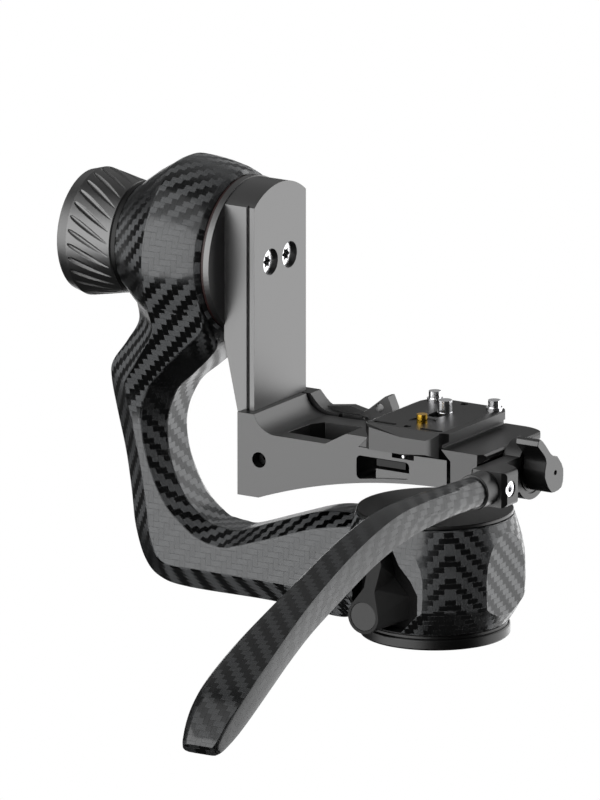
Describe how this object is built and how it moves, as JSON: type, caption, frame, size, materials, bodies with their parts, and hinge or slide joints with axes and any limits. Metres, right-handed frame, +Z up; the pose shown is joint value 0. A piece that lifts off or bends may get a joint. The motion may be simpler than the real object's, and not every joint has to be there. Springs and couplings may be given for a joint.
{
  "type": "gimbal tripod head",
  "caption": "Gimbal tripod head: C-shaped carbon frame on a pan base, tilting swing arm with a sliding quick release cradle, pan handle and drag knob.",
  "frame": {"origin": "centre of the base flange's bottom face, on the pan axis, in the mouth of the tripod thread", "axes": "+Z up along the pan axis, +X along the tilt axis from the drag knob towards the quick release plate, +Y along the lens, away from the handle"},
  "size_m": [0.2456, 0.3186, 0.2026],
  "materials": {
    "carbon": "satin carbon fibre laminate, twill weave",
    "anodised": "black anodised, fine satin",
    "anodised_grey": "dark grey anodised, fine satin",
    "alu": "plain turned",
    "steel": "turned and ground",
    "screw_steel": "polished",
    "brass": "bright turned",
    "seal_red": "dark red",
    "seal_black": "matt",
    "friction": "friction lining"
  },
  "bodies": {
    "base": {"base_flange": "anodised", "flange_screws": "screw_steel", "pan_spindle": "steel", "spindle_nut": "steel", "pan_bearing_inner_races": "steel", "pan_bearing_spacer": "alu", "pan_seal_ring": "seal_black"},
    "pan": {"carbon_frame": "carbon", "pan_liner": "alu", "pan_bearing_outer_races": "steel", "pan_bearing_balls": "steel", "pan_clamp_collar": "alu", "pan_cap": "anodised", "tilt_liner": "alu", "tilt_bearing_outer_races": "steel", "tilt_bearing_balls": "steel", "tilt_seal_ring": "seal_red", "hub_collar": "anodised", "drag_washer": "friction"},
    "pan_lock": {"pan_lock_lever": "anodised", "pan_lock_screw": "steel", "pan_lock_cover": "anodised"},
    "tilt": {"swing_arm": "anodised", "tilt_shaft": "steel", "arm_screws": "screw_steel", "tilt_bearing_inner_races": "steel", "tilt_bearing_spacer": "alu", "drag_plate": "alu"},
    "knob": {"tilt_drag_knob": "anodised", "knob_nut": "steel"},
    "cradle": {"cradle_arm": "anodised_grey", "rail_clamp_screw": "screw_steel", "jaw_guide_pins": "steel", "clamp_bolt": "steel"},
    "stop": {"stop_button": "anodised_grey", "stop_pin": "screw_steel"},
    "plate": {"quick_release_plate": "anodised", "plate_pins": "screw_steel", "pin_plug": "alu", "anti_twist_spring": "steel"},
    "camera_screw": {"camera_screw": "screw_steel"},
    "anti_twist": {"anti_twist_pin": "brass"},
    "jaw": {"moving_jaw": "anodised_grey"},
    "handle": {"handle_mount": "anodised_grey", "handle_collar": "anodised_grey", "handle_spigot": "steel", "handle_blade": "carbon", "handle_clamp_screw": "screw_steel"},
    "lever": {"clamp_lever": "anodised_grey"}
  },
  "joints": [
    {"name": "pan_turn", "type": "hinge", "parent": "base", "child": "pan", "pos_m": [0, 0, 0], "axis": [0, 0, 1], "continuous": true},
    {"name": "pan_lock_turn", "type": "hinge", "parent": "pan", "child": "pan_lock", "pos_m": [-0.013, 0, 0.014], "axis": [0, 1, 0], "range_deg": [-10, 14]},
    {"name": "tilt_turn", "type": "hinge", "parent": "pan", "child": "tilt", "pos_m": [-0.097, 0, 0.161], "axis": [1, 0, 0], "range_deg": [-90, 90]},
    {"name": "knob_turn", "type": "hinge", "parent": "pan", "child": "knob", "pos_m": [-0.17, 0, 0.161], "axis": [1, 0, 0], "range_deg": [0, 270]},
    {"name": "cradle_slide", "type": "slide", "parent": "tilt", "child": "cradle", "axis": [0, 0, 1], "range_m": [0, 0.025]},
    {"name": "stop_press", "type": "slide", "parent": "cradle", "child": "stop", "axis": [0, 0, 1], "range_m": [-0.0012, 0], "stiffness_N_per_m": 400},
    {"name": "jaw_slide", "type": "slide", "parent": "cradle", "child": "jaw", "axis": [1, 0, 0], "range_m": [0, 0.00125]},
    {"name": "lever_turn", "type": "hinge", "parent": "jaw", "child": "lever", "pos_m": [0.055, 0, 0.082], "axis": [1, 0, 0], "range_deg": [0, 360]},
    {"name": "handle_turn", "type": "hinge", "parent": "jaw", "child": "handle", "pos_m": [0.046, 0, 0.082], "axis": [1, 0, 0], "range_deg": [-60, 60]},
    {"name": "plate_slide", "type": "slide", "parent": "cradle", "child": "plate", "axis": [0, 1, 0], "range_m": [-0.015, 0.015]},
    {"name": "camera_screw_turn", "type": "hinge", "parent": "plate", "child": "camera_screw", "pos_m": [0.0008, 0.007, 0.1], "axis": [0, 0, 1], "continuous": true},
    {"name": "anti_twist_press", "type": "slide", "parent": "plate", "child": "anti_twist", "axis": [0, 0, 1], "range_m": [-0.003, 0], "stiffness_N_per_m": 300, "deforming": ["anti_twist_spring"]}
  ],
  "couplings": [
    {"joint": "lever_turn", "follows": "jaw_slide", "rad_per_m": 5026.5}
  ]
}
